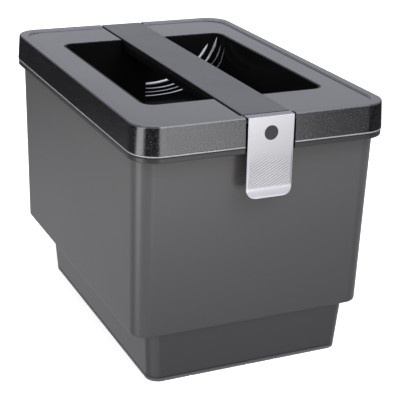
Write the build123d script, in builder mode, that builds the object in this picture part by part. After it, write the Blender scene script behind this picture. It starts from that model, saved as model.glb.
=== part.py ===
"""Espresso knock box: a smoky tub with a black lift-out liner, and a lid with a knock bar and a latch.

Millimetres, +Z up. X runs along the front, and -Y is the front, the side of the latch.
The origin is the centre of the whole object's footprint box, on the surface that it stands on.
"""
import os

from build123d import *

os.makedirs("parts", exist_ok=True)

# ---------------------------------------------------------------- driving dimensions
lid_width = 200.0            # outside of the lid at its top edge
lid_depth = 296.2
total_height = 207.5
lid_corner = 19.2
skirt_height = 20.5
skirt_flare = 1.4            # the skirt leans out by this much on each side
lid_wall = 3.0
rim_width = 6.5              # raised border round the top
panel_drop = 1.2             # the top panel lies this far below the border
panel_corner = 18.0

opening_width = 149.2
opening_depth = 190.2
opening_corner = 10.0

bar_width = 37.4
bar_gap = 1.2                # shadow gap on each side of the bar
cover_thick = 4.8

flange_height = 5.7
side_inset = 4.2             # tub wall behind the edge of its flange, at the sides
end_inset = 10.4             # and at the front and back
tub_wall = 2.8
tub_corner_top = 14.0
tub_corner_low = 12.5
side_draft, front_draft, back_draft = 1.8, 3.6, 2.1

step_height = 40.6           # underside of the shelf where the tub narrows to its base
base_width_top, base_width_low = 167.0, 162.6
base_front_top, base_back_top = -132.8, 104.0
base_front_low, base_back_low = -130.7, 98.6
base_corner = 10.0
foot_height = 2.7

plate_thick = 1.0            # stainless latch plate
plate_width = 36.6
plate_height = 60.0
lip_reach = 2.5              # finger lip in front of the flange
pin_radius = 1.2

# ---------------------------------------------------------------- levels and outlines worked out from them
mid_y = lip_reach / 2        # the lid and tub are centred here, so that the whole box is centred on 0
lid_top = total_height
panel_top = lid_top - panel_drop
plate_under = panel_top - lid_wall
skirt_bottom = lid_top - skirt_height
flange_top = skirt_bottom
flange_bottom = flange_top - flange_height
flange_width = lid_width + 2 * skirt_flare
flange_depth = lid_depth + 2 * skirt_flare
flange_corner = lid_corner + skirt_flare
tub_width = flange_width - 2 * side_inset
tub_depth = flange_depth - 2 * end_inset
slot_half = bar_width / 2 + bar_gap
cover_under = lid_top - cover_thick
front_face = -lid_depth / 2


def level(z, y=0.0):
    """A horizontal sketching plane at height z, centred on the lid and tub."""
    return Plane((0, mid_y + y, z))


def side(x):
    """A plane across X, whose sketch axes are the part's Y and Z."""
    return Plane(origin=(x, mid_y, 0), x_dir=(0, 1, 0), z_dir=(1, 0, 0))


def rounded(plane, width, depth, radius):
    """A rounded rectangle on a plane, as a sketch."""
    with BuildSketch(plane) as outline:
        RectangleRounded(width, depth, radius)
    return outline.sketch


def tapered(low, high, mode=Mode.ADD):
    """A drafted block between two levels. low and high are (plane, width, depth, corner radius)."""
    loft([rounded(*low), rounded(*high)], ruled=True, mode=mode)


def block(x_range, y_range, z_range, mode=Mode.ADD):
    """A square block between pairs of limits, with Y measured from the middle of the lid."""
    size = [max(pair) - min(pair) for pair in (x_range, y_range, z_range)]
    middle = [(pair[0] + pair[1]) / 2 for pair in (x_range, y_range, z_range)]
    with Locations((middle[0], mid_y + middle[1], middle[2])):
        Box(*size, mode=mode)


# ---------------------------------------------------------------- tub
base_mid_top = (base_front_top + base_back_top) / 2
base_mid_low = (base_front_low + base_back_low) / 2
base_depth_top = base_back_top - base_front_top
base_depth_low = base_back_low - base_front_low
shelf_top = step_height + tub_wall
floor_top = foot_height + tub_wall
lip_wall = 1.8               # thin lip on top of the flange, inside the lid
lip_width = 192.4
lip_depth = 285.6
lip_corner = 14.6
lip_top = 199.5
edge_turn = [(0.0, 1.5), (0.6, 0.5), (1.6, 0.0)]   # rounding of the shelf's edge: rise and inset
bead_height = 1.2            # upper bead of the flange
groove_height = 0.8
notch_depth = 3.2            # recess in the flange for the latch

tub_inner_width = tub_width - 2 * tub_wall
tub_inner_depth = tub_depth - 2 * tub_wall
low_width = tub_width - 2 * side_draft
low_depth = tub_depth - front_draft - back_draft
low_y = (front_draft - back_draft) / 2

with BuildPart() as outer_bin:
    # upper body, rounded where it turns under
    turns = [(level(step_height + rise, low_y), low_width - 2 * inset, low_depth - 2 * inset,
              tub_corner_low - inset) for rise, inset in edge_turn]
    for low, high in zip(turns, turns[1:]):
        tapered(low, high)
    tapered(turns[-1], (level(flange_bottom), tub_width, tub_depth, tub_corner_top))
    # base
    tapered(
        (level(foot_height, base_mid_low), base_width_low, base_depth_low, base_corner),
        (level(step_height + 1, base_mid_top), base_width_top, base_depth_top, base_corner),
    )
    # flange: bead, groove and lower band
    bead_bottom = flange_top - bead_height
    groove_bottom = bead_bottom - groove_height
    tapered(
        (level(bead_bottom), flange_width, flange_depth, flange_corner),
        (level(flange_top), flange_width, flange_depth, flange_corner),
    )
    tapered(
        (level(groove_bottom), flange_width - 1.6, flange_depth - 1.6, flange_corner - 0.8),
        (level(bead_bottom), flange_width - 1.6, flange_depth - 1.6, flange_corner - 0.8),
    )
    tapered(
        (level(flange_bottom), flange_width - 0.8, flange_depth - 0.8, flange_corner - 0.4),
        (level(groove_bottom), flange_width - 0.8, flange_depth - 0.8, flange_corner - 0.4),
    )
    # lip that stands up inside the lid
    tapered(
        (level(groove_bottom), lip_width, lip_depth, lip_corner),
        (level(lip_top), lip_width, lip_depth, lip_corner),
    )
    # hollow
    inner_corner = tub_corner_top - tub_wall
    tapered(
        (level(shelf_top, low_y), low_width - 2 * tub_wall, low_depth - 2 * tub_wall, tub_corner_low - tub_wall),
        (level(flange_top + 1), tub_inner_width, tub_inner_depth, inner_corner),
        mode=Mode.SUBTRACT,
    )
    tapered(
        (level(flange_top), lip_width - 2 * lip_wall, lip_depth - 2 * lip_wall, lip_corner - lip_wall),
        (level(lip_top + 1), lip_width - 2 * lip_wall, lip_depth - 2 * lip_wall, lip_corner - lip_wall),
        mode=Mode.SUBTRACT,
    )
    tapered(
        (level(floor_top, base_mid_low), base_width_low - 2 * tub_wall, base_depth_low - 2 * tub_wall,
         base_corner - tub_wall),
        (level(shelf_top + 1, base_mid_top), base_width_top - 2 * tub_wall, base_depth_top - 2 * tub_wall,
         base_corner - tub_wall),
        mode=Mode.SUBTRACT,
    )
    # recess in the flange that the latch drops through
    notch_back = -flange_depth / 2 + notch_depth
    block((-slot_half, slot_half), (-flange_depth / 2 - 1, notch_back), (flange_bottom - 1, flange_top + 1),
          mode=Mode.SUBTRACT)
outer_bin.part.label = "outer_bin"
export_step(outer_bin.part, "parts/outer_bin.step")

# ---------------------------------------------------------------- non-slip foot ring under the base
foot_width = 5.0
foot_bevel = 0.3
foot_notch = 1.2             # small vent notches along its edge
notch_places = [(-48.0, 1), (0.0, 1), (24.0, 1), (-48.0, -1), (24.0, -1)]

with BuildPart() as foot_ring:
    foot_plane = level(0, base_mid_low)
    foot_top = level(foot_height, base_mid_low)
    tapered(
        (foot_plane, base_width_low - 2 * foot_bevel, base_depth_low - 2 * foot_bevel, base_corner - foot_bevel),
        (foot_top, base_width_low, base_depth_low, base_corner),
    )
    inner_x = base_width_low - 2 * foot_width
    inner_y = base_depth_low - 2 * foot_width
    tapered(
        (foot_plane, inner_x, inner_y, base_corner - foot_width),
        (foot_top, inner_x, inner_y, base_corner - foot_width),
        mode=Mode.SUBTRACT,
    )
    for x, end in notch_places:
        edge = base_front_low if end > 0 else base_back_low
        block((x - foot_notch / 2, x + foot_notch / 2), (edge - 1, edge + 1.5 * end), (-1, foot_height - 0.6),
              mode=Mode.SUBTRACT)
foot_ring.part.label = "foot_ring"
export_step(foot_ring.part, "parts/foot_ring.step")

# ---------------------------------------------------------------- lift-out liner
liner_gap = 1.2
liner_wall = 2.0
liner_clear = 0.3            # the liner's floor over the tub's floor
liner_top = 180.0
rim_lip = 1.8
liner_low = floor_top + liner_clear
liner_shelf = shelf_top + liner_clear

with BuildPart() as liner:
    top_x = tub_inner_width - 2 * liner_gap - 1.0
    top_y = tub_inner_depth - 2 * liner_gap - 1.0
    shelf_x = low_width - 2 * (tub_wall + liner_gap) - 2.0
    shelf_y = low_depth - 2 * (tub_wall + liner_gap) - 2.0
    shelf_corner = tub_corner_low - tub_wall - liner_gap
    top_corner = tub_corner_top - tub_wall - liner_gap
    well_x = base_width_low - 2 * (tub_wall + liner_gap)
    well_y = base_depth_low - 2 * (tub_wall + liner_gap)
    well_corner = base_corner - tub_wall - liner_gap
    mouth_x = base_width_top - 2 * (tub_wall + liner_gap)
    mouth_y = base_depth_top - 2 * (tub_wall + liner_gap)
    tapered(
        (level(liner_shelf, low_y), shelf_x - 2, shelf_y - 2, shelf_corner - 1),
        (level(liner_top), top_x - 2 * rim_lip, top_y - 2 * rim_lip, top_corner - rim_lip + 1),
    )
    tapered(
        (level(liner_low, base_mid_low), well_x, well_y, well_corner),
        (level(liner_shelf + 1, base_mid_top), mouth_x, mouth_y, well_corner),
    )
    # rolled rim
    tapered(
        (level(liner_top - 3), top_x, top_y, top_corner + 1),
        (level(liner_top), top_x, top_y, top_corner + 1),
    )
    tapered(
        (level(liner_shelf + liner_wall, low_y), shelf_x - 2 - 2 * liner_wall, shelf_y - 2 - 2 * liner_wall,
         shelf_corner - 1 - liner_wall),
        (level(liner_top + 0.1), top_x - 2 * (rim_lip + liner_wall), top_y - 2 * (rim_lip + liner_wall),
         top_corner - rim_lip + 1 - liner_wall),
        mode=Mode.SUBTRACT,
    )
    tapered(
        (level(liner_low + liner_wall, base_mid_low), well_x - 2 * liner_wall, well_y - 2 * liner_wall,
         well_corner - liner_wall),
        (level(liner_shelf + liner_wall + 1, base_mid_top), mouth_x - 2 * liner_wall, mouth_y - 2 * liner_wall,
         well_corner - liner_wall),
        mode=Mode.SUBTRACT,
    )
liner.part.label = "liner"
export_step(liner.part, "parts/liner.step")

# ---------------------------------------------------------------- knock bar: levels shared with the lid
tray_depth = 6.0
core_thick = 3.0
damper_thick = 3.0
tray_bottom = cover_under - tray_depth
channel_top = tray_bottom - damper_thick          # the damper pads stand on this floor
channel_floor = 2.7
channel_wall = 2.5
bar_end = 138.6                                   # ends of the tray and core
seat_inner = opening_depth / 2
front_wall_out, front_wall_in = -140.9, -139.2    # wall of the lid behind the latch
front_wall_top = 204.5
screw_spots = [(x, y) for y in (-118.0, 118.0) for x in (-9.0, 9.0)]
screw_hole = 2.2
screw_radius = 2.0

# latch pivot
pin_y, pin_z = -145.8, 203.7
lug_width = 5.0

# chute fixing
collar_gap = 0.1             # between the chute's collar and the edge of the opening
chute_wall = 1.8
boss_radius = 3.5
boss_bottom = 199.3
chute_spots = [(x, y) for x in (-81.5, 81.5) for y in (-84.0, 0.0, 84.0)]
chute_spots += [(x, y) for x in (-48.0, 48.0) for y in (-102.0, 102.0)]
chute_screw_radius = 1.5

# ---------------------------------------------------------------- lid shell
with BuildPart() as lid_shell:
    top_round = 1.0
    tapered(
        (level(skirt_bottom), flange_width, flange_depth, flange_corner),
        (level(lid_top - top_round), lid_width + 0.1, lid_depth + 0.1, lid_corner),
    )
    tapered(
        (level(lid_top - top_round), lid_width + 0.1, lid_depth + 0.1, lid_corner),
        (level(lid_top), lid_width - 1.2 * top_round, lid_depth - 1.2 * top_round, lid_corner - 0.6 * top_round),
    )
    # hollow under the top
    tapered(
        (level(skirt_bottom - 0.1), flange_width - 2 * lid_wall, flange_depth - 2 * lid_wall,
         flange_corner - lid_wall),
        (level(plate_under), lid_width - 2 * lid_wall, lid_depth - 2 * lid_wall, lid_corner - lid_wall),
        mode=Mode.SUBTRACT,
    )
    # sunk top panel
    tapered(
        (level(panel_top), lid_width - 2 * rim_width, lid_depth - 2 * rim_width, panel_corner),
        (level(lid_top + 1), lid_width - 2 * rim_width + 1.2, lid_depth - 2 * rim_width + 1.2, panel_corner + 0.6),
        mode=Mode.SUBTRACT,
    )
    # boxes of the channel that carry the two ends of the bar
    box_x = slot_half + channel_wall
    for end in (-1, 1):
        block((-box_x, box_x), (end * seat_inner, end * -front_wall_out), (channel_top - channel_floor, plate_under + 1))
    # bosses for the chute
    with BuildSketch(level(boss_bottom)):
        with Locations(*chute_spots):
            Circle(boss_radius)
    extrude(amount=plate_under + 1 - boss_bottom)
    # lugs of the latch pin
    for end in (-1, 1):
        block((end * slot_half, end * (slot_half + lug_width)), (pin_y - 1.5, pin_y + 2.8), (200.6, plate_under + 1))
    # opening
    with BuildSketch(level(channel_top - channel_floor - 1)):
        RectangleRounded(opening_width, opening_depth, opening_corner)
    extrude(amount=lid_top, mode=Mode.SUBTRACT)
    # channel: deep over the two seats, shallow over the back rim, open at the front for the latch
    for end in (-1, 1):
        block((-slot_half, slot_half), (0, end * -front_wall_in), (channel_top, lid_top + 1), mode=Mode.SUBTRACT)
    block((-slot_half, slot_half), (front_wall_out - 2.0, lid_depth), (front_wall_top, lid_top + 1),
          mode=Mode.SUBTRACT)
    block((-slot_half, slot_half), (-lid_depth, front_wall_out - 2.0), (skirt_bottom - 1, lid_top + 1),
          mode=Mode.SUBTRACT)
    # holes
    with BuildSketch(level(channel_top - channel_floor - 1)):
        with Locations(*screw_spots):
            Circle(screw_hole)
    extrude(amount=channel_floor + 2, mode=Mode.SUBTRACT)
    with BuildSketch(level(boss_bottom)):
        with Locations(*chute_spots):
            Circle(chute_screw_radius)
    extrude(amount=5.8, mode=Mode.SUBTRACT)
    with BuildSketch(side(-slot_half - lug_width - 0.2)):
        with Locations((pin_y, pin_z)):
            Circle(pin_radius)
    extrude(amount=2 * (slot_half + lug_width + 0.2), mode=Mode.SUBTRACT)
lid_shell.part.label = "lid_shell"
export_step(lid_shell.part, "parts/lid_shell.step")

# ---------------------------------------------------------------- chute lining the opening
flange_z = boss_bottom - 2.0
flange_out = 12.5
chute_width = opening_width - 2 * (chute_wall + collar_gap)
chute_depth = opening_depth - 2 * (chute_wall + collar_gap)
chute_corner = opening_corner - chute_wall - collar_gap
collar_top = panel_top - 0.3
straight_to = 163.0
# bowl of the chute: height, how far the wall has come in, corner radius
bowl = [(straight_to, 0.0, 12.0), (153.0, 3.5, 17.0), (146.0, 10.0, 22.0), (143.0, 18.0, 26.0)]


def chute_sections(outset, top, bottom_extra):
    """Outlines of the chute's wall, outset from its inner face."""
    sections = [rounded(level(top), chute_width + 2 * outset, chute_depth + 2 * outset, chute_corner + outset)]
    for z, inward, radius in bowl:
        width = chute_width - 2 * inward + 2 * outset
        depth = chute_depth - 2 * inward + 2 * outset
        drop = bottom_extra * inward / bowl[-1][1]
        sections.append(rounded(level(z - drop), width, depth, radius + outset))
    return sections


with BuildPart() as chute:
    loft(chute_sections(chute_wall, collar_top, 0.6), ruled=True)
    tapered(
        (level(flange_z), opening_width + 2 * flange_out, opening_depth + 2 * flange_out, opening_corner + flange_out),
        (level(boss_bottom), opening_width + 2 * flange_out, opening_depth + 2 * flange_out,
         opening_corner + flange_out),
    )
    loft(chute_sections(0.0, collar_top + 0.1, -1.2), ruled=True, mode=Mode.SUBTRACT)
    throat_x = chute_width - 2 * bowl[-1][1]
    throat_y = chute_depth - 2 * bowl[-1][1]
    tapered(
        (level(bowl[-1][0] - 3), throat_x, throat_y, bowl[-1][2]),
        (level(bowl[-1][0] + 3), throat_x, throat_y, bowl[-1][2]),
        mode=Mode.SUBTRACT,
    )
    # notches that the bar passes through, and room for its channel and screw heads
    clear = 0.3
    block((-slot_half, slot_half), (-seat_inner, seat_inner), (channel_top, lid_top), mode=Mode.SUBTRACT)
    for end in (-1, 1):
        block((-box_x - clear, box_x + clear), (end * seat_inner, end * lid_depth / 2),
              (channel_top - channel_floor - clear, lid_top), mode=Mode.SUBTRACT)
        block((-box_x - clear, box_x + clear), (end * (seat_inner + chute_wall), end * lid_depth / 2),
              (channel_top - channel_floor - 8, lid_top), mode=Mode.SUBTRACT)
    with BuildSketch(level(flange_z - 1)):
        with Locations(*chute_spots):
            Circle(chute_screw_radius + 0.2)
    extrude(amount=4, mode=Mode.SUBTRACT)
chute.part.label = "chute"
export_step(chute.part, "parts/chute.step")

with BuildPart() as chute_screws:
    with BuildSketch(level(flange_z - 2.2)):
        with Locations(*chute_spots):
            Circle(3.2)
    extrude(amount=2.2)
    with BuildSketch(level(flange_z)):
        with Locations(*chute_spots):
            Circle(chute_screw_radius)
    extrude(amount=7.2)
    # cross recess
    for x, y in chute_spots:
        block((x - 1.6, x + 1.6), (y - 0.4, y + 0.4), (flange_z - 3, flange_z - 1.2), mode=Mode.SUBTRACT)
        block((x - 0.4, x + 0.4), (y - 1.6, y + 1.6), (flange_z - 3, flange_z - 1.2), mode=Mode.SUBTRACT)
chute_screws.part.label = "chute_screws"
export_step(chute_screws.part, "parts/chute_screws.step")

# ---------------------------------------------------------------- seal between the lid and the tub's lip
seal_width = 2.6
seal_gap = 0.3

with BuildPart() as lid_seal:
    tapered(
        (level(lip_top + seal_gap), lip_width - 0.2, lip_depth - 0.2, lip_corner - 0.1),
        (level(plate_under), lip_width - 0.2, lip_depth - 0.2, lip_corner - 0.1),
    )
    tapered(
        (level(lip_top), lip_width - 2 * seal_width, lip_depth - 2 * seal_width, lip_corner - seal_width),
        (level(plate_under + 0.1), lip_width - 2 * seal_width, lip_depth - 2 * seal_width,
         lip_corner - seal_width),
        mode=Mode.SUBTRACT,
    )
    # the channel's boxes interrupt the inner edge of the seal
    block((-box_x, box_x), (front_wall_out, -front_wall_out), (lip_top, plate_under + 1), mode=Mode.SUBTRACT)
lid_seal.part.label = "lid_seal"
export_step(lid_seal.part, "parts/lid_seal.step")

# ---------------------------------------------------------------- knock bar
cover_front = -140.4         # nose of the cover, behind the latch
cover_back = lid_depth / 2 - 0.4
cover_round = 1.0
nose_under = 204.8
core_width = 28.0
core_bottom = cover_under - core_thick

with BuildPart() as bar_cover:
    block((-bar_width / 2, bar_width / 2), (-bar_end, bar_end), (cover_under, lid_top))
    block((-bar_width / 2, bar_width / 2), (cover_front, cover_back), (nose_under, lid_top))
    fillet(bar_cover.edges().filter_by(Axis.Y).group_by(Axis.Z)[-1], radius=cover_round)
    fillet(bar_cover.faces().sort_by(Axis.Y)[-1].edges().group_by(Axis.Z)[-1], radius=cover_round)
bar_cover.part.label = "bar_cover"
export_step(bar_cover.part, "parts/bar_cover.step")

with BuildPart() as bar_tray:
    block((-bar_width / 2, bar_width / 2), (-bar_end, bar_end), (tray_bottom, cover_under))
    fillet(bar_tray.edges().filter_by(Axis.Y).group_by(Axis.Z)[0], radius=1.5)
    block((-core_width / 2, core_width / 2), (-bar_end + 2, bar_end - 2), (core_bottom, cover_under + 1),
          mode=Mode.SUBTRACT)
    with BuildSketch(level(tray_bottom - 1)):
        with Locations(*screw_spots):
            Circle(screw_hole)
    extrude(amount=5, mode=Mode.SUBTRACT)
bar_tray.part.label = "bar_tray"
export_step(bar_tray.part, "parts/bar_tray.step")

with BuildPart() as bar_core:
    block((-core_width / 2, core_width / 2), (-bar_end + 2, bar_end - 2), (core_bottom, cover_under))
    with BuildSketch(level(core_bottom - 1)):
        with Locations(*screw_spots):
            Circle(screw_radius)
    extrude(amount=core_thick - 0.6 + 1, mode=Mode.SUBTRACT)
bar_core.part.label = "bar_core"
export_step(bar_core.part, "parts/bar_core.step")

for end_name, end in (("front", -1), ("rear", 1)):
    with BuildPart() as bar_damper:
        block((-17.0, 17.0), (end * 99.0, end * 137.0), (channel_top, tray_bottom))
        with BuildSketch(level(channel_top - 1)):
            with Locations(*[spot for spot in screw_spots if spot[1] * end > 0]):
                Circle(screw_hole)
        extrude(amount=damper_thick + 2, mode=Mode.SUBTRACT)
    bar_damper.part.label = f"bar_damper_{end_name}"
    export_step(bar_damper.part, f"parts/bar_damper_{end_name}.step")

washer_thick = 0.8
head_height = 2.4
floor_under = channel_top - channel_floor

with BuildPart() as bar_washers:
    with BuildSketch(level(floor_under - washer_thick)):
        with Locations(*screw_spots):
            Circle(4.8)
            Circle(screw_radius, mode=Mode.SUBTRACT)
    extrude(amount=washer_thick)
bar_washers.part.label = "bar_washers"
export_step(bar_washers.part, "parts/bar_washers.step")

with BuildPart() as bar_screws:
    with BuildSketch(level(floor_under - washer_thick - head_height)):
        with Locations(*screw_spots):
            Circle(3.6)
    extrude(amount=head_height)
    with BuildSketch(level(floor_under - washer_thick - head_height)):
        with Locations(*screw_spots):
            RegularPolygon(1.5, 6)
    extrude(amount=1.4, mode=Mode.SUBTRACT)
    with BuildSketch(level(floor_under - washer_thick)):
        with Locations(*screw_spots):
            Circle(screw_radius)
    extrude(amount=cover_under - 0.6 - floor_under + washer_thick)
bar_screws.part.label = "bar_screws"
export_step(bar_screws.part, "parts/bar_screws.step")

# ---------------------------------------------------------------- latch
plate_face = -149.3          # front of the plate at its top edge
plate_foot = -150.4          # front of the plate where the lip begins
leg_back = -141.8            # rear end of the leg that folds over the top
plate_bottom = lid_top - plate_height
lip_start = plate_bottom + 4.8
lip_front = -flange_depth / 2 - lip_reach
bend_radius = 1.7
corner_radius = 7.0

with BuildPart() as latch_plate:
    with BuildSketch(side(-plate_width / 2)):
        with BuildLine():
            FilletPolyline(
                (leg_back, lid_top - plate_thick / 2),
                (plate_face + plate_thick / 2, lid_top - plate_thick / 2),
                (plate_foot + plate_thick / 2, lip_start),
                (lip_front + plate_thick / 2 - 0.05, plate_bottom + 0.1),
                radius=[bend_radius - plate_thick / 2, 6.0],
            )
            offset(amount=plate_thick / 2, side=Side.BOTH)
        make_face()
    extrude(amount=plate_width)
    with BuildSketch(Plane(origin=(0, -lid_depth, 0), x_dir=(1, 0, 0), z_dir=(0, -1, 0))):
        with Locations((0, (lid_top + plate_bottom) / 2 + corner_radius)):
            RectangleRounded(plate_width, plate_height + 2 * corner_radius, corner_radius)
    extrude(amount=-2 * lid_depth, mode=Mode.INTERSECT)
latch_plate.part.label = "latch_plate"
export_step(latch_plate.part, "parts/latch_plate.step")

# black lever behind the plate: two knuckles on the pin, a web, and the hook under the flange
lever_half = 17.5
knuckle_radius = 2.4
knuckle_inner = 6.0
bore_clear = 0.05
web_front, web_back = -148.3, -146.8
lever_bottom = 178.0
hook_top = flange_bottom - 0.3
hook_back = -143.4
spring_slot = (-4.8, -2.8)
stud_spots = [(-12.0, 189.5), (12.0, 189.5)]
stud_radius = 1.5

with BuildPart() as latch_carrier:
    for end in (-1, 1):
        with BuildSketch(side(end * knuckle_inner)):
            with Locations((pin_y, pin_z)):
                Circle(knuckle_radius)
        extrude(amount=end * (lever_half - knuckle_inner))
        block((end * knuckle_inner, end * lever_half), (web_front, pin_y), (198.0, pin_z))
    block((-lever_half, lever_half), (web_front, web_back), (lever_bottom, 200.0))
    block((-lever_half, lever_half), (web_front, hook_back), (lever_bottom, hook_top))
    fillet(latch_carrier.edges().filter_by(Axis.X).sort_by(Axis.Y)[-2:], radius=0.8)
    with BuildSketch(side(-lever_half - 1)):
        with Locations((pin_y, pin_z)):
            Circle(pin_radius + bore_clear)
    extrude(amount=2 * lever_half + 2, mode=Mode.SUBTRACT)
    # lightening pocket behind the hook, slot for the spring's lower leg, and stud holes
    block((-knuckle_inner, knuckle_inner), (web_front - 1, pin_y + 3), (198.0, pin_z + 3), mode=Mode.SUBTRACT)
    block(spring_slot, (web_front - 1, web_back + 1), (192.0, 199.0), mode=Mode.SUBTRACT)
    with BuildSketch(Plane(origin=(0, mid_y + web_front - 1, 0), x_dir=(1, 0, 0), z_dir=(0, -1, 0))):
        with Locations(*stud_spots):
            Circle(stud_radius)
    extrude(amount=-4, mode=Mode.SUBTRACT)
latch_carrier.part.label = "latch_carrier"
export_step(latch_carrier.part, "parts/latch_carrier.step")

with BuildPart() as latch_pin:
    pin_half = slot_half + lug_width
    with BuildSketch(side(-pin_half)):
        with Locations((pin_y, pin_z)):
            Circle(pin_radius)
    extrude(amount=2 * pin_half)
    chamfer(latch_pin.edges().filter_by(GeomType.CIRCLE), length=0.3)
latch_pin.part.label = "latch_pin"
export_step(latch_pin.part, "parts/latch_pin.step")

# studs on the back of the plate, riveted over behind the lever
with BuildPart() as plate_studs:
    stud_plane = Plane(origin=(0, mid_y + web_back, 0), x_dir=(1, 0, 0), z_dir=(0, -1, 0))
    with BuildSketch(stud_plane):
        with Locations(*stud_spots):
            Circle(stud_radius)
    extrude(amount=web_back - web_front)
    with BuildSketch(stud_plane):
        with Locations(*stud_spots):
            Circle(2.3)
    extrude(amount=-0.6)
plate_studs.part.label = "plate_studs"
export_step(plate_studs.part, "parts/plate_studs.step")

# torsion spring round the pin: one leg lies in the lever's slot, the other bears on the lid's ledge
wire_radius = 0.35
coil_radius = 1.85
coil_pitch = 1.0
coil_length = 7.5
lower_leg = 10.5
upper_leg = 1.8
coil_plane = Plane(origin=(-coil_length / 2, mid_y + pin_y, pin_z), x_dir=(0, -1, 0), z_dir=(1, 0, 0))
coil = coil_plane * Helix(coil_pitch, coil_length, coil_radius)

with BuildPart() as latch_spring:
    with BuildSketch(Plane(origin=coil @ 0, z_dir=coil % 0)):
        Circle(wire_radius)
    sweep(path=coil, is_frenet=True)
    for place, length in ((coil @ 0, -lower_leg), (coil @ 1, upper_leg)):
        with BuildSketch(Plane(origin=place, z_dir=(0, 0, 1))):
            Circle(wire_radius)
        extrude(amount=length)
latch_spring.part.label = "latch_spring"
export_step(latch_spring.part, "parts/latch_spring.step")

# plain dark disc on the face of the plate, with one turned groove
badge_z = 195.3
badge_radius = 5.4
badge_groove = (3.4, 3.9)
badge_proud = 0.12
lean = (plate_foot - plate_face) / (lid_top - plate_thick / 2 - lip_start)
badge_y = plate_face + lean * (lid_top - plate_thick / 2 - badge_z)
badge_plane = Plane(origin=(0, mid_y + badge_y, badge_z), x_dir=(1, 0, 0), z_dir=(0, -1, -lean))

with BuildPart() as latch_badge:
    with BuildSketch(badge_plane):
        Circle(badge_radius)
    extrude(amount=badge_proud)
    with BuildSketch(badge_plane.offset(badge_proud / 2)):
        Circle(badge_groove[1])
        Circle(badge_groove[0], mode=Mode.SUBTRACT)
    extrude(amount=badge_proud, mode=Mode.SUBTRACT)
latch_badge.part.label = "latch_badge"
export_step(latch_badge.part, "parts/latch_badge.step")
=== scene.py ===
"""Looks of the espresso knock box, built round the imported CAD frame.

Finishes, the camera and the floor are in metres, with +Z up and -Y at the front. Shapes are in millimetres,
with y measured from the middle of the lid.
"""
import math

import bmesh
import bpy
from mathutils import Matrix, Vector


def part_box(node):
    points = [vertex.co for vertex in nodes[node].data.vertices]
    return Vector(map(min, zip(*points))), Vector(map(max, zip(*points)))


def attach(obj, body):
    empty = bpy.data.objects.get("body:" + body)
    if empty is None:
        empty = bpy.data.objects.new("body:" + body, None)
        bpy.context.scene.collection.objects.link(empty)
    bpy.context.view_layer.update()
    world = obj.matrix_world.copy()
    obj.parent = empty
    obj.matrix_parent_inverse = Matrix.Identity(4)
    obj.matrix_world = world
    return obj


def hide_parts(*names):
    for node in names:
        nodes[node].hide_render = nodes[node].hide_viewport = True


MM = 0.001

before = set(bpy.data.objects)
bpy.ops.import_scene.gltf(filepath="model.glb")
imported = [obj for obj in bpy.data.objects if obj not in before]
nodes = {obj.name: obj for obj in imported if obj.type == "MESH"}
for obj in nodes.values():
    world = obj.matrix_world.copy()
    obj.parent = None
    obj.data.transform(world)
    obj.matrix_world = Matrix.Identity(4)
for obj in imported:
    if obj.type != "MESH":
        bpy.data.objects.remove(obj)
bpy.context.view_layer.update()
scene = bpy.context.scene

lid_low, lid_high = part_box("lid_shell")
lid_mid_y = (lid_low.y + lid_high.y) / 2


# ---------------------------------------------------------------- material helpers
SOCKETS = {
    "base": "Base Color", "metallic": "Metallic", "roughness": "Roughness", "ior": "IOR",
    "specular": "Specular IOR Level", "emission": "Emission Color", "emission_strength": "Emission Strength",
}


def new_material(name, **values):
    """A Principled material with plain values set on its sockets: the material, its tree and its shader."""
    material = bpy.data.materials.new(name)
    material.use_nodes = True
    tree = material.node_tree
    shader = tree.nodes["Principled BSDF"]
    for key, value in values.items():
        shader.inputs[SOCKETS[key]].default_value = (*value, 1.0) if isinstance(value, tuple) else value
    return material, tree, shader


def grey(value, blue=0.0):
    """A grey, with a little more blue in it when asked."""
    return value, value, value + blue


def node(tree, kind, **settings):
    made = tree.nodes.new(kind)
    for key, value in settings.items():
        setattr(made, key, value)
    return made


def feed(tree, value, socket):
    """Gives an input its value: a link from another node's output, or a plain number."""
    if isinstance(value, (int, float)):
        socket.default_value = value
    else:
        tree.links.new(value, socket)


def math_node(tree, operation, *operands):
    """A Math node whose operands are sockets or numbers."""
    made = node(tree, "ShaderNodeMath", operation=operation)
    for value, socket in zip(operands, made.inputs):
        feed(tree, value, socket)
    return made.outputs[0]


def product(tree, first, *others):
    for other in others:
        first = math_node(tree, "MULTIPLY", first, other)
    return first


def ramp(tree, source, stops):
    """A colour ramp over source; stops are (position, colour)."""
    made = node(tree, "ShaderNodeValToRGB")
    elements = made.color_ramp.elements
    while len(elements) < len(stops):
        elements.new(0.5)
    for element, (position, colour) in zip(elements, stops):
        element.position = position
        element.color = (*colour, 1.0)
    tree.links.new(source, made.inputs[0])
    return made.outputs[0]


def remap(tree, source, low, high, to_low, to_high, curve="SMOOTHSTEP"):
    """A Map Range node from (low, high) to (to_low, to_high), held at its ends."""
    made = node(tree, "ShaderNodeMapRange", interpolation_type=curve)
    for index, value in enumerate((low, high, to_low, to_high), start=1):
        made.inputs[index].default_value = value
    tree.links.new(source, made.inputs[0])
    return made.outputs[0]


def coordinates(tree, kind="Object"):
    return node(tree, "ShaderNodeTexCoord").outputs[kind]


def axes(tree, vector):
    """The x, y and z of a vector."""
    split = node(tree, "ShaderNodeSeparateXYZ")
    tree.links.new(vector, split.inputs[0])
    return split.outputs


def stretched(tree, vector, scale):
    mapping = node(tree, "ShaderNodeMapping")
    mapping.inputs["Scale"].default_value = scale
    tree.links.new(vector, mapping.inputs[0])
    return mapping.outputs[0]


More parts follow.
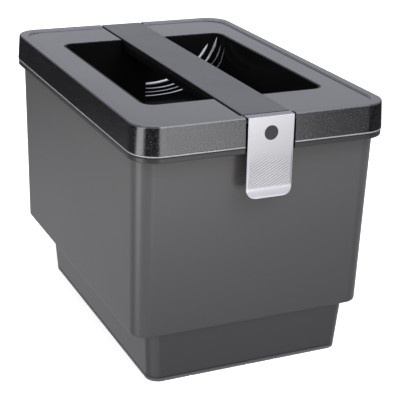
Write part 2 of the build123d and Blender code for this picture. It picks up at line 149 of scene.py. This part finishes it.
def noise(tree, vector, scale, detail=3.0, roughness=0.55):
    made = node(tree, "ShaderNodeTexNoise")
    made.inputs["Scale"].default_value = scale
    made.inputs["Detail"].default_value = detail
    made.inputs["Roughness"].default_value = roughness
    tree.links.new(vector, made.inputs["Vector"])
    return made.outputs[0]


def bump(tree, shader, height, distance, strength=1.0, edge=0.0):
    """Bump from height, over normals that are rounded at the edges by the radius edge."""
    made = node(tree, "ShaderNodeBump")
    made.inputs["Distance"].default_value = distance
    feed(tree, strength, made.inputs["Strength"])
    tree.links.new(height, made.inputs["Height"])
    if edge:
        rounding = node(tree, "ShaderNodeBevel", samples=4)
        rounding.inputs["Radius"].default_value = edge
        tree.links.new(rounding.outputs[0], made.inputs["Normal"])
    tree.links.new(made.outputs[0], shader.inputs["Normal"])


def uneven_roughness(tree, shader, clouds, low, high):
    tree.links.new(remap(tree, clouds, 0.3, 0.7, low, high), shader.inputs["Roughness"])


def textured(name, dark, light, roughness, grain, depth, edge=0.0004, **values):
    """Moulded or drawn stock: colour between dark and light, uneven roughness, fine surface grain."""
    material, tree, shader = new_material(name, **values)
    coords = coordinates(tree)
    clouds = noise(tree, coords, 18.0)
    tree.links.new(ramp(tree, clouds, [(0.3, dark), (0.7, light)]), shader.inputs["Base Color"])
    uneven_roughness(tree, shader, clouds, roughness - 0.03, roughness + 0.03)
    bump(tree, shader, noise(tree, coords, grain, 2.0), depth, edge=edge)
    return material


# ---------------------------------------------------------------- materials
def lid_finish():
    """The lid: smooth on top, a sparkling grain on its upright faces, and a painted highlight on the step
    round its sunk panel.
    """
    panel_half_width, panel_half_depth, step_low = 0.0955, 0.1436, 0.2062
    material, tree, shader = new_material("lid_graphite", specular=1.0)
    coords = coordinates(tree)
    facing = axes(tree, coordinates(tree, "Normal"))[2]
    upright = remap(tree, math_node(tree, "ABSOLUTE", facing), 0.3, 0.8, 1.0, 0.12)
    speckle = noise(tree, coords, 1050, 1.0, 0.5)
    bump(tree, shader, speckle, 0.00003, upright, edge=0.0003)
    sparkle = product(tree, remap(tree, speckle, 0.42, 0.72, 0.0, 1.0), upright)
    x, y, z = axes(tree, coords)
    from_middle = math_node(tree, "SUBTRACT", y, lid_mid_y)
    # step: painted highlight, a lighter colour on the upright step round the sunk panel where light would
    # catch it
    step = product(
        tree, upright,
        math_node(tree, "LESS_THAN", math_node(tree, "ABSOLUTE", x), panel_half_width),
        math_node(tree, "LESS_THAN", math_node(tree, "ABSOLUTE", from_middle), panel_half_depth),
        math_node(tree, "GREATER_THAN", z, step_low),
    )
    grain_and_painted_step_highlight = math_node(tree, "MAXIMUM", product(tree, sparkle, 0.5), step)
    # the lightest stop is the painted highlight on the step; the two darker stops are the grain
    stops = [(0.0, grey(0.0015, 0.0005)), (0.5, grey(0.036, 0.002)), (1.0, grey(0.23, 0.02))]
    tree.links.new(ramp(tree, grain_and_painted_step_highlight, stops), shader.inputs["Base Color"])
    uneven_roughness(tree, shader, noise(tree, coords, 14), 0.14, 0.18)
    return material


def tub_finish():
    """The tub: smoky grey, with painted shade in its colour: darker towards the base and under the step, a
    dark line over the foot and a dark band on the flange.
    """
    material, tree, shader = new_material("tub_smoke", specular=0.5)
    coords = coordinates(tree)
    height = remap(tree, axes(tree, coords)[2], 0.0, 0.2, 0.0, 1.0, curve="LINEAR")
    # painted shade, by height: a dark line over the foot, the base under the step darker, the walls lighter
    # upwards, and a dark band on the flange
    stops = [
        (0.017, (0.006, 0.006, 0.006)), (0.023, (0.026, 0.025, 0.027)),
        (0.195, (0.034, 0.0335, 0.0355)), (0.21, (0.045, 0.0445, 0.0465)),
        (0.50, (0.059, 0.0568, 0.0578)), (0.85, (0.084, 0.0795, 0.0785)),
        (0.900, (0.083, 0.0785, 0.0775)), (0.908, (0.022, 0.022, 0.023)),
    ]
    tree.links.new(ramp(tree, height, stops), shader.inputs["Base Color"])
    uneven_roughness(tree, shader, noise(tree, coords, 6), 0.285, 0.305)
    return material


def plate_finish():
    """The plate: fine upright brushing, with painted light in its colour: a painted highlight at the lip's
    crease, lighter up its face, and painted shade on its top leg.
    """
    material, tree, shader = new_material("latch_steel", metallic=1.0)
    coords = coordinates(tree)
    height = remap(tree, axes(tree, coords)[2], 0.145, 0.2095, 0.0, 1.0, curve="LINEAR")
    # painted light, by height: the lip lighter up to a painted highlight at its crease, the face lighter
    # towards the top, and the top leg darker as painted shade
    stops = [
        (0.04, (0.68, 0.675, 0.69)), (0.12, (0.84, 0.835, 0.845)), (0.165, (0.46, 0.456, 0.468)),
        (0.45, (0.448, 0.443, 0.457)), (0.75, (0.54, 0.535, 0.55)), (0.962, (0.62, 0.615, 0.63)),
        (0.967, (0.28, 0.28, 0.285)),
    ]
    tree.links.new(ramp(tree, height, stops), shader.inputs["Base Color"])
    brushing = noise(tree, stretched(tree, coords, (2600, 2600, 60)), 1.0, 2.0)
    uneven_roughness(tree, shader, brushing, 0.31, 0.36)
    bump(tree, shader, brushing, 0.000006)
    return material


smoke = tub_finish()
graphite = lid_finish()
steel = plate_finish()
foot = textured("foot_grey", grey(0.075, 0.005), grey(0.10, 0.005), 0.55, 1500, 0.00004, edge=0.0002)
grip = textured("grip_graphite", grey(0.005, 0.001), grey(0.008, 0.001), 0.32, 2200, 0.00003, edge=0.0003,
                specular=1.0)
gloss_black = textured("chute_black", grey(0.0065, 0.0002), grey(0.0085, 0.0002), 0.16, 300, 0.00002,
                       specular=0.02)
black = textured("tray_black", grey(0.005, 0.0002), grey(0.007, 0.0002), 0.42, 1400, 0.00004, specular=0.03)
liner_black = textured("liner_black", grey(0.007, 0.001), grey(0.011, 0.001), 0.40, 1200, 0.00004)
rubber = textured("rubber_black", grey(0.014), grey(0.022), 0.75, 1800, 0.00006)
lever = textured("lever_black", grey(0.012, 0.001), grey(0.018, 0.001), 0.45, 1500, 0.00005)
zinc = textured("zinc_screws", grey(0.42, 0.02), grey(0.58, 0.02), 0.32, 1600, 0.00003, metallic=1.0)
bar_steel = textured("bar_steel", grey(0.40, 0.01), grey(0.52, 0.02), 0.38, 900, 0.00004, metallic=1.0)
pin_steel = textured("pin_steel", grey(0.50, 0.01), grey(0.62, 0.01), 0.25, 900, 0.00002, metallic=1.0)
wire = textured("spring_steel", grey(0.42, 0.01), grey(0.55, 0.01), 0.28, 900, 0.00002, metallic=1.0)
# the ribs' near-white colour is a painted highlight, for the bright arcs of reflected light in the chute
rib_painted_highlight = textured("rib_painted_highlight", grey(0.84, 0.02), grey(0.90, 0.02), 0.30, 900, 0.00001, edge=0,
                     metallic=0.35)
badge = textured("badge_dark", grey(0.022, 0.004), grey(0.032, 0.005), 0.45, 2500, 0.00003, edge=0.00015)
# the bead's light grey is a painted highlight, for the bright line of reflected light along it
bead_painted_highlight = textured("tub_bead_painted_highlight", grey(0.30, 0.01), grey(0.36, 0.01), 0.26, 1200, 0.00001, edge=0, ior=2.4)

finishes = {
    "outer_bin": smoke, "foot_ring": foot, "liner": liner_black, "lid_shell": graphite, "chute": gloss_black,
    "chute_screws": zinc, "lid_seal": rubber, "bar_cover": grip, "bar_tray": black, "bar_core": bar_steel,
    "bar_damper_front": rubber, "bar_damper_rear": rubber, "bar_washers": zinc, "bar_screws": zinc,
    "latch_plate": steel, "latch_carrier": lever, "latch_pin": pin_steel, "plate_studs": pin_steel,
    "latch_spring": wire, "latch_badge": badge,
}
for name, finish in finishes.items():
    for material_slot in nodes[name].material_slots:
        material_slot.link = "OBJECT"
        material_slot.material = finish


# ---------------------------------------------------------------- mesh helpers
corner_steps = 12


def outline(width, depth, radius, z, y=0.0):
    """Points of a rounded rectangle at height z, with its middle y behind the middle of the lid."""
    points = []
    for side_x, side_y, start in ((1, 1, 0), (-1, 1, 90), (-1, -1, 180), (1, -1, 270)):
        centre_x = side_x * (width / 2 - radius)
        centre_y = side_y * (depth / 2 - radius) + y
        for step in range(corner_steps + 1):
            angle = math.radians(start + 90 * step / corner_steps)
            points.append((
                (centre_x + radius * math.cos(angle)) * MM,
                (centre_y + radius * math.sin(angle)) * MM + lid_mid_y,
                z * MM,
            ))
    return points


def inset(section, amount):
    """A rounded rectangle (width, depth, corner radius) made smaller all round."""
    width, depth, radius = section
    return width - 2 * amount, depth - 2 * amount, max(radius - amount, 0.5)


def between(low, high, t):
    return tuple(a + (b - a) * t for a, b in zip(low, high))


def walls(low, high, heights, middles, fractions):
    """Loops of a drafted wall at these fractions of the way between two sections."""
    loops = []
    for t in fractions:
        z, y = (start + (end - start) * t for start, end in (heights, middles))
        loops.append(outline(*between(low, high, t), z, y))
    return loops


def rounded_under(section, z, radius, y=0.0, steps=5):
    """Loops of an outer edge that turns up from its underside at height z."""
    loops = []
    for step in range(steps + 1):
        angle = math.radians(90 * step / steps)
        inward = radius * (1 - math.sin(angle))
        loops.append(outline(*inset(section, inward), z + radius * (1 - math.cos(angle)), y))
    return loops


def rounded_over(section, z, radius, steps=5):
    """Loops of an outer edge that turns in to its top at height z."""
    loops = []
    for step in range(steps + 1):
        angle = math.radians(90 * step / steps)
        inward = radius * (1 - math.cos(angle))
        loops.append(outline(*inset(section, inward), z - radius * (1 - math.sin(angle))))
    return loops


def hollow_corner(section, z, y=0.0):
    """Loops of the small hollow where a wall meets the ledge above it, at height z."""
    return [outline(*inset(section, -out), z - drop, y) for out, drop in ((0.0, 1.0), (0.3, 0.3), (1.0, 0.0))]


def ring_faces(loops, count, closed):
    """Quads between successive loops of count points each."""
    faces = []
    last = loops if closed else loops - 1
    for row in range(last):
        below, above = row * count, ((row + 1) % loops) * count
        for i in range(count):
            j = (i + 1) % count
            faces.append((below + i, below + j, above + j, above + i))
    return faces


def joined(loops):
    return [point for loop in loops for point in loop]


def finish_mesh(name, verts, faces, material, body, sharp=38):
    """A smooth-shaded piece that rides on a body, with creases at angles over sharp degrees."""
    mesh = bpy.data.meshes.new(name)
    mesh.from_pydata(verts, [], faces)
    mesh.validate()
    edit = bmesh.new()
    edit.from_mesh(mesh)
    bmesh.ops.recalc_face_normals(edit, faces=edit.faces)
    edit.to_mesh(mesh)
    edit.free()
    mesh.shade_smooth()
    mesh.set_sharp_from_angle(angle=math.radians(sharp))
    mesh.materials.append(material)
    piece = bpy.data.objects.new(name, mesh)
    scene.collection.objects.link(piece)
    weighted = piece.modifiers.new("weighted", "WEIGHTED_NORMAL")
    weighted.keep_sharp = True
    weighted.mode = "FACE_AREA"
    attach(piece, body)
    return piece


def cut(piece, low, high):
    """Cuts the box between two corners out of a piece."""
    corners = [(x * MM, y * MM + lid_mid_y, z * MM) for x in (low[0], high[0]) for y in (low[1], high[1])
               for z in (low[2], high[2])]
    sides = [(0, 1, 3, 2), (4, 6, 7, 5), (0, 4, 5, 1), (2, 3, 7, 6), (0, 2, 6, 4), (1, 5, 7, 3)]
    mesh = bpy.data.meshes.new("cutter")
    mesh.from_pydata(corners, [], sides)
    cutter = bpy.data.objects.new("cutter", mesh)
    scene.collection.objects.link(cutter)
    cutting = piece.modifiers.new("cut", "BOOLEAN")
    cutting.operation = "DIFFERENCE"
    cutting.solver = "EXACT"
    cutting.object = cutter
    while piece.modifiers[0] != cutting:
        piece.modifiers.move(len(piece.modifiers) - 1, 0)
    shaped = bpy.data.meshes.new_from_object(piece.evaluated_get(bpy.context.evaluated_depsgraph_get()))
    piece.modifiers.remove(cutting)
    old = piece.data
    piece.data = shaped
    bpy.data.meshes.remove(old)
    bpy.data.objects.remove(cutter)
    bpy.data.meshes.remove(mesh)
    shaped.name = piece.name


# ---------------------------------------------------------------- tub
# level sections, as (width, depth, corner radius), from the base up
base_low = (162.6, 229.3, 10.0)
base_top = (167.0, 236.8, 10.0)
tub_low = (190.8, 272.5, 12.5)
tub_top = (194.4, 278.2, 14.0)
flange = (202.8, 299.0, 20.6)
lip = (192.4, 285.6, 14.6)
# how far those sections' middles are behind the lid's
base_low_y, base_top_y, tub_low_y = -16.05, -14.4, 0.75
foot_z, step_z = 2.7, 40.6
flange_bottom, band_top, groove_top, skirt_bottom, lip_top = 181.3, 185.1, 185.6, 187.0, 199.5
tub_wall, lip_wall = 2.8, 1.5
# radii of the rounded edges
base_edge, step_edge, lip_edge = 0.8, 2.0, 0.5
band_under, band_over = 0.6, 0.4
# the flange: how far its band (painted dark as shade), the groove over it and the bead's seat are set in
band_inset, groove_inset, seat_inset = 0.35, 1.5, 0.9
bead = 0.7
bead_root, bead_gap = 1.3, 0.02
# the notch behind the latch, in the flange and bead
notch_half, notch_front, notch_back = 19.9, -152.0, -146.3


def tub_outside():
    """Loops of the base, the step, the drafted walls and the flange, from the underside to the lip's seat."""
    loops = rounded_under(base_low, foot_z, base_edge, base_low_y)
    loops += walls(base_low, base_top, (foot_z, step_z), (base_low_y, base_top_y), (0.3, 0.6))
    loops += hollow_corner(base_top, step_z, base_top_y)
    loops += rounded_under(tub_low, step_z, step_edge, tub_low_y, steps=7)
    loops += walls(tub_low, tub_top, (step_z, flange_bottom), (tub_low_y, 0.0), (0.25, 0.5, 0.75))
    loops += hollow_corner(tub_top, flange_bottom)
    band = inset(flange, band_inset)
    loops += rounded_under(band, flange_bottom, band_under) + rounded_over(band, band_top, band_over)
    groove, seat = inset(flange, groove_inset), inset(flange, seat_inset)
    loops += [outline(*groove, band_top), outline(*groove, groove_top)]
    loops += [outline(*seat, groove_top), outline(*seat, skirt_bottom)]
    return loops


def tub_lip():
    """Loops of the lip that stands inside the lid's skirt."""
    inside = inset(lip, lip_wall)
    loops = [outline(*lip, skirt_bottom)] + rounded_over(lip, lip_top, lip_edge, steps=3)
    loops.append(outline(*inset(inside, -lip_edge), lip_top))
    loops.append(outline(*inside, lip_top - lip_edge))
    loops.append(outline(*inside, skirt_bottom))
    return loops


def tub_inside():
    """Loops of the hollow, from under the lip to the floor of the base."""
    step_inside = step_z + tub_wall
    return [
        outline(*inset(tub_top, tub_wall), skirt_bottom),
        outline(*inset(tub_low, tub_wall), step_inside, tub_low_y),
        outline(*inset(base_top, tub_wall), step_inside, base_top_y),
        outline(*inset(base_low, tub_wall), foot_z + tub_wall, base_low_y),
    ]


def bead_section():
    """Loops round the half-round bead that the lid's skirt stands on."""
    middle = skirt_bottom - bead
    loops = [
        outline(*inset(flange, bead), middle - bead + bead_gap),
        outline(*inset(flange, bead_root), middle),
        outline(*inset(flange, bead), skirt_bottom - bead_gap),
    ]
    for step in range(1, 8):
        angle = math.radians(90 - 180 * step / 8)
        inward = bead * (1 - math.cos(angle))
        loops.append(outline(*inset(flange, inward), middle + bead * math.sin(angle)))
    return loops


def make_tub():
    """The tub, and the bead round its flange as a ring of its own, coloured light grey as a painted
    highlight.
    """
    loops = tub_outside() + tub_lip() + tub_inside()
    count = len(loops[0])
    faces = ring_faces(len(loops), count, closed=False)
    faces.append(tuple(reversed(range(count))))
    faces.append(tuple(range((len(loops) - 1) * count, len(loops) * count)))
    tub = finish_mesh("tub_moulding", joined(loops), faces, smoke, "bin")
    cut(tub, (-notch_half, notch_front, flange_bottom - 1.0), (notch_half, notch_back, skirt_bottom + 1))
    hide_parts("outer_bin")
    loops = bead_section()
    faces = ring_faces(len(loops), count, closed=True)
    edge = finish_mesh("tub_bead", joined(loops), faces, bead_painted_highlight, "bin")
    cut(edge, (-notch_half, notch_front, flange_bottom), (notch_half, notch_back, skirt_bottom + 1))


make_tub()


# ---------------------------------------------------------------- chute
chute_mouth = (145.6, 186.6, 8.2)
chute_top, chute_straight, chute_bottom = 206.0, 151.0, 143.0
chute_wall = 1.8
bowl_reach, bowl_steps = 9.0, 12
throat_radius_gain = 8.0
flange_reach, flange_under, flange_over = 12.5, 197.3, 199.3
# the room cut out of the chute for the bar: along the mouth, and wider in the walls at its two ends
bar_half, bar_reach, bar_floor = 19.9, 95.1, 191.0
end_half, end_reach, end_floor = 22.7, 150.0, 188.0
above_chute = 210.0
# middle lines of the ribs on the chute's wall, coloured near white as a painted highlight for the arcs of
# reflected light, as Bezier points (distance along the wall to the right of the middle of the back, z), and
# each rib's radius at its two ends
rib_lines = [
    ((3.0, 165.0), (30.0, 164.0), (52.0, 176.0), (62.5, 197.0), 1.15, 1.25),
    ((3.0, 161.0), (34.0, 157.5), (66.0, 172.0), (71.0, 203.0), 0.26, 1.30),
    ((3.0, 157.4), (38.0, 155.0), (71.0, 168.0), (75.5, 197.0), 0.20, 0.50),
    ((3.0, 154.0), (42.0, 152.0), (75.0, 164.0), (83.0, 196.0), 0.36, 0.42),
]
rib_stand_off = 0.2
rib_tip, rib_tip_rate = 0.1, 12


def chute_section(z, inward=0.0, outset=0.0):
    """The chute's section turned in by inward, and outset from there by a wall or a flange."""
    width, depth, radius = chute_mouth
    turned = radius + throat_radius_gain * inward / bowl_reach
    grown = 2 * (outset - inward)
    return outline(width + grown, depth + grown, turned + outset, z)


def bowl_section(step, drop=0.0, outset=0.0):
    """One loop of the quarter turn from the straight walls to the throat."""
    angle = math.radians(90 * step / bowl_steps)
    z = chute_straight - drop - (chute_straight - chute_bottom) * math.sin(angle)
    return chute_section(z, bowl_reach * (1 - math.cos(angle)), outset)


def on_wall(along):
    """The point of the chute's wall this far to the right of the middle of its back, and its normal."""
    width, depth, radius = chute_mouth
    straight, bend = width / 2 - radius, radius * math.pi / 2
    if along < straight:
        return along, depth / 2, 0.0, -1.0
    if along < straight + bend:
        turn = (along - straight) / radius
        return (straight + radius * math.sin(turn), depth / 2 - radius + radius * math.cos(turn),
                -math.sin(turn), -math.cos(turn))
    return width / 2, depth / 2 - radius - (along - straight - bend), -1.0, 0.0


def rib(line, steps=48, around=12):
    """A round rib along a line on the chute's wall: its points and faces."""
    points = []
    ends, (first, last) = line[:4], line[4:]
    for step in range(steps + 1):
        t = step / steps
        weights = ((1 - t) ** 3, 3 * t * (1 - t) ** 2, 3 * t * t * (1 - t), t ** 3)
        slopes = (-3 * (1 - t) ** 2, 3 * (1 - t) * (1 - 3 * t), 3 * t * (2 - 3 * t), 3 * t * t)
        along, z = (sum(w * p[axis] for w, p in zip(weights, ends)) for axis in (0, 1))
        run, rise = (sum(w * p[axis] for w, p in zip(slopes, ends)) for axis in (0, 1))
        length = math.hypot(run, rise)
        run, rise = run / length, rise / length
        x, y, normal_x, normal_y = on_wall(along)
        size = (first + (last - first) * t) * min(1.0, rib_tip + rib_tip_rate * (1 - t))
        for turn in range(around):
            angle = 2 * math.pi * turn / around
            across, out = size * math.cos(angle), size * math.sin(angle) + rib_stand_off
            points.append(((x + normal_y * rise * across + normal_x * out) * MM,
                           (y - normal_x * rise * across + normal_y * out) * MM + lid_mid_y,
                           (z + run * across) * MM))
    faces = ring_faces(steps + 1, around, closed=False)
    faces += [tuple(range(around)), tuple(range(steps * around, (steps + 1) * around))]
    return points, faces


def make_lining():
    """The lining of the opening: straight walls that turn in to a throat, and a flange under the lid."""
    loops = [chute_section(z) for z in (chute_top, 190.0, 175.0)]
    loops += [bowl_section(step) for step in range(bowl_steps + 1)]
    loops.append(chute_section(chute_bottom - 1.0, bowl_reach))
    loops += [bowl_section(step, 1.0, chute_wall) for step in range(bowl_steps, -1, -2)]
    for outset, z in ((chute_wall, flange_under), (flange_reach, flange_under), (flange_reach, flange_over),
                      (chute_wall, flange_over), (chute_wall, chute_top)):
        loops.append(chute_section(z, 0.0, outset))
    faces = ring_faces(len(loops), len(loops[0]), closed=True)
    lining = finish_mesh("chute_lining", joined(loops), faces, gloss_black, "lid")
    cut(lining, (-bar_half, -bar_reach, bar_floor), (bar_half, bar_reach, above_chute))
    for near, far in ((-end_reach, -bar_reach), (bar_reach, end_reach)):
        cut(lining, (-end_half, near, end_floor), (end_half, far, above_chute))
    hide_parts("chute")


def make_ribs():
    """The four ribs on the lining, as one piece."""
    points, faces = [], []
    for line in rib_lines:
        start = len(points)
        more, quads = rib(line)
        points += more
        faces += [tuple(start + index for index in face) for face in quads]
    ribs = finish_mesh("chute_ribs", points, faces, rib_painted_highlight, "lid", sharp=60)


make_lining()
make_ribs()


# ---------------------------------------------------------------- latch plate
plate_half, plate_corner = 18.3, 7.0
plate_top, plate_bottom = 207.5, 147.5
sheet = 1.0
sheet_edge = 0.35
plate_bend = 0.9
# y of the outer face from the end of the top leg to the lip, and the height where the lip starts
leg_end, leg_middle, face_y, foot_y, lip_y = -141.8, -145.5, -149.3, -150.4, -152.0
lip_start = 154.3
lip_lean = 0.05
plate_rows, plate_columns = 150, 110
ridge_height, ridge_pitch, ridge_slant = 0.19, 1.9, math.radians(28)
ridge_top, ridge_bottom = 185.0, 154.4
# how far the ridges take to fade out at their top, bottom and sides, and the plain margin at the sides
top_fade, bottom_fade, side_fade, side_margin = 15.0, 1.6, 0.8, 0.8


def plate_profile():
    """Outer face of the plate as (y, z, normal y, normal z), from the end of the top leg to the lip."""
    face_top = plate_top - plate_bend
    line = [(leg_end, plate_top), (leg_middle, plate_top), (face_y + plate_bend, plate_top)]
    for step in range(1, 9):
        angle = math.radians(90 * step / 9)
        line.append((face_y + plate_bend * (1 - math.sin(angle)), face_top + plate_bend * math.cos(angle)))
    for step in range(plate_rows + 1):
        t = step / plate_rows
        line.append((face_y + (foot_y - face_y) * t, face_top + (lip_start - face_top) * t))
    lip_steps = 18
    for step in range(1, lip_steps + 1):
        t = step / lip_steps
        swing = t * t * (3 - 2 * t) * 0.55 + t * 0.45
        y = foot_y - lip_lean * t + (lip_y - foot_y) * swing
        line.append((y, lip_start + (plate_bottom - lip_start) * t))
    profile = []
    for index, (y, z) in enumerate(line):
        before, after = line[max(index - 1, 0)], line[min(index + 1, len(line) - 1)]
        dy, dz = after[0] - before[0], after[1] - before[1]
        length = math.hypot(dy, dz)
        profile.append((y, z, dz / length, -dy / length))
    return profile


def held(value):
    """value kept between 0 and 1."""
    return min(max(value, 0.0), 1.0)


def hatch(x, z):
    """Height of the fine slanting ridges on the lower half of the plate, which fade out at their edges."""
    fade = held((ridge_top - z) / top_fade) * held((z - ridge_bottom) / bottom_fade)
    fade *= held((plate_half - side_margin - abs(x)) / side_fade)
    across = -x * math.sin(ridge_slant) + z * math.cos(ridge_slant)
    return ridge_height * fade * (0.5 + 0.5 * math.cos(2 * math.pi * across / ridge_pitch))


def half_width(z):
    """Half of the plate's width at height z, less within its rounded lower corners."""
    low = z - plate_bottom
    if low >= plate_corner:
        return plate_half
    return plate_half - plate_corner + math.sqrt(max(plate_corner ** 2 - (plate_corner - low) ** 2, 0.0))


def plate_points(profile):
    """Points of the plate's outer and inner faces, row by row, with closer columns at the edges."""
    front, back = [], []
    spread = math.pi / 2 * 0.9
    for y, z, normal_y, normal_z in profile:
        half = half_width(z)
        for column in range(plate_columns + 1):
            x = half * math.sin(spread * (2 * column / plate_columns - 1)) / math.sin(spread)
            rim = min(half - abs(x), sheet_edge)
            drop = sheet_edge - math.sqrt(max(sheet_edge ** 2 - (sheet_edge - rim) ** 2, 0.0))
            lift = hatch(x, z) - drop
            front.append((x * MM, (y + normal_y * lift) * MM + lid_mid_y, (z + normal_z * lift) * MM))
            back.append((x * MM, (y - normal_y * sheet) * MM + lid_mid_y, (z - normal_z * sheet) * MM))
    return front, back


def make_plate():
    """The folded stainless plate, with its ridges, rounded lower corners and finger lip."""
    profile = plate_profile()
    front, back = plate_points(profile)
    rows, width, behind = len(profile), plate_columns + 1, len(front)
    faces = []
    for row in range(rows - 1):
        for column in range(plate_columns):
            a, b = row * width + column, row * width + column + 1
            c, d = b + width, a + width
            faces.append((a, d, c, b))
            faces.append((behind + a, behind + b, behind + c, behind + d))
    for row in range(rows - 1):
        for column in (0, plate_columns):
            a, b = row * width + column, (row + 1) * width + column
            faces.append((a, b, behind + b, behind + a))
    for column in range(plate_columns):
        for row in (0, rows - 1):
            a, b = row * width + column, row * width + column + 1
            faces.append((a, b, behind + b, behind + a))
    plate = finish_mesh("latch_sheet", front + back, faces, steel, "latch", sharp=50)
    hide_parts("latch_plate")


make_plate()


# ---------------------------------------------------------------- camera
# the camera's place is measured in nominal widths of the lid, from the floor below the middle of the lid
nominal_width = 0.200
azimuth = math.radians(-25.139)
elevation = math.radians(21.347)
roll = math.radians(1.911)
camera_offset = Vector((-1.91356, -4.25171, 2.27014)) * nominal_width
camera_lens, sensor_width = 106.9, 36.0


def add_camera():
    """The camera at the photograph's viewing angle."""
    data = bpy.data.cameras.new("camera")
    data.sensor_width = sensor_width
    data.lens = camera_lens
    data.clip_start = 0.05
    camera = bpy.data.objects.new("camera", data)
    scene.collection.objects.link(camera)
    forward = Vector((
        -math.sin(azimuth) * math.cos(elevation),
        math.cos(azimuth) * math.cos(elevation),
        -math.sin(elevation),
    ))
    level_right = forward.cross(Vector((0, 0, 1))).normalized()
    level_up = level_right.cross(forward)
    right = math.cos(roll) * level_right + math.sin(roll) * level_up
    up = -math.sin(roll) * level_right + math.cos(roll) * level_up
    camera.matrix_world = Matrix((
        (right.x, up.x, -forward.x, camera_offset.x),
        (right.y, up.y, -forward.y, camera_offset.y + lid_mid_y),
        (right.z, up.z, -forward.z, camera_offset.z),
        (0, 0, 0, 1),
    ))
    scene.camera = camera


add_camera()


# ---------------------------------------------------------------- floor and studio light
# the floor's size, in metres: it is flat near the object and bends up into a wall
floor_flat, floor_reach, floor_height, floor_bend = 0.5, 9.0, 9.0, 3.0
floor_steps, floor_sides = 12, 96


def add_floor():
    """A plain pale floor that curves up into a far backdrop.

    It is out of sight of reflections and bounced light, which come from the studio, and casts no shadow.
    """
    bend_start = floor_reach - floor_bend
    profile = [(floor_flat, 0.0), (bend_start, 0.0)]
    for step in range(1, floor_steps + 1):
        angle = math.radians(90 * step / floor_steps)
        profile.append((bend_start + floor_bend * math.sin(angle), floor_bend * (1 - math.cos(angle))))
    profile.append((floor_reach, floor_height))
    points = []
    for radius, z in profile:
        for side in range(floor_sides):
            angle = 2 * math.pi * side / floor_sides
            points.append((radius * math.cos(angle), radius * math.sin(angle), z))
    faces = ring_faces(len(profile), floor_sides, closed=False)
    faces.append(tuple(range(floor_sides)))
    mesh = bpy.data.meshes.new("floor")
    mesh.from_pydata(points, [], faces)
    floor = bpy.data.objects.new("floor", mesh)
    scene.collection.objects.link(floor)
    material, tree, shader = new_material("floor", base=grey(0.9), roughness=0.9, emission=grey(1.0),
                                          emission_strength=0.6)
    mesh.materials.append(material)
    floor.visible_glossy = False
    floor.visible_diffuse = False
    floor.visible_shadow = False


add_floor()

# zones by the z of a direction: (z, brightness)
studio_zones = [
    (-1.0, 0.65), (-0.36, 0.66), (-0.26, 0.03), (0.09, 0.03), (0.20, 0.80), (0.55, 1.05), (1.0, 1.1),
]
zones_peak = 2.0
# softboxes: azimuth range in degrees (0 is the front, positive to the right), z range, the soft edges of
# both, and brightness
softboxes = [
    (-1, 28, -0.43, 0.04, 4, 0.06, 2.5),
    (-96, -64, -0.45, 0.06, 7, 0.08, 3.3),
    (-80, -2, -0.80, -0.37, 10, 0.04, 0.8),
    (8, 48, 0.64, 0.90, 6, 0.05, 4.5),
]
sky_tint = [(0.0, (1.0, 1.0, 1.02)), (0.15, (0.965, 0.975, 1.08))]


def between_edges(tree, value, low, high, edge):
    """Two factors, one for each soft edge, whose product is 1 between low and high and 0 outside."""
    return (
        remap(tree, value, low - edge, low + edge, 0, 1),
        remap(tree, value, high - edge, high + edge, 1, 0),
    )


def add_studio():
    """Soft studio light all round: pale above and below, dark between, with four softboxes."""
    world = bpy.data.worlds.new("studio")
    world.use_nodes = True
    tree = world.node_tree
    x, y, z = axes(tree, coordinates(tree, "Generated"))
    stops = [(0.5 + height / 2, grey(brightness / zones_peak)) for height, brightness in studio_zones]
    total = product(tree, ramp(tree, math_node(tree, "MULTIPLY_ADD", z, 0.5, 0.5), stops), zones_peak)
    turn = math_node(tree, "ARCTAN2", x, product(tree, y, -1.0))
    for left, right, low, high, edge, rise, strength in softboxes:
        across = between_edges(tree, turn, math.radians(left), math.radians(right), math.radians(edge))
        upright = between_edges(tree, z, low, high, rise)
        total = math_node(tree, "ADD", total, product(tree, across[0], strength, across[1], *upright))
    background = tree.nodes["Background"]
    tree.links.new(ramp(tree, z, sky_tint), background.inputs["Color"])
    tree.links.new(total, background.inputs["Strength"])
    world.cycles.sampling_method = "MANUAL"
    world.cycles.sample_map_resolution = 1024
    scene.world = world
    scene.view_settings.view_transform = "Standard"


add_studio()
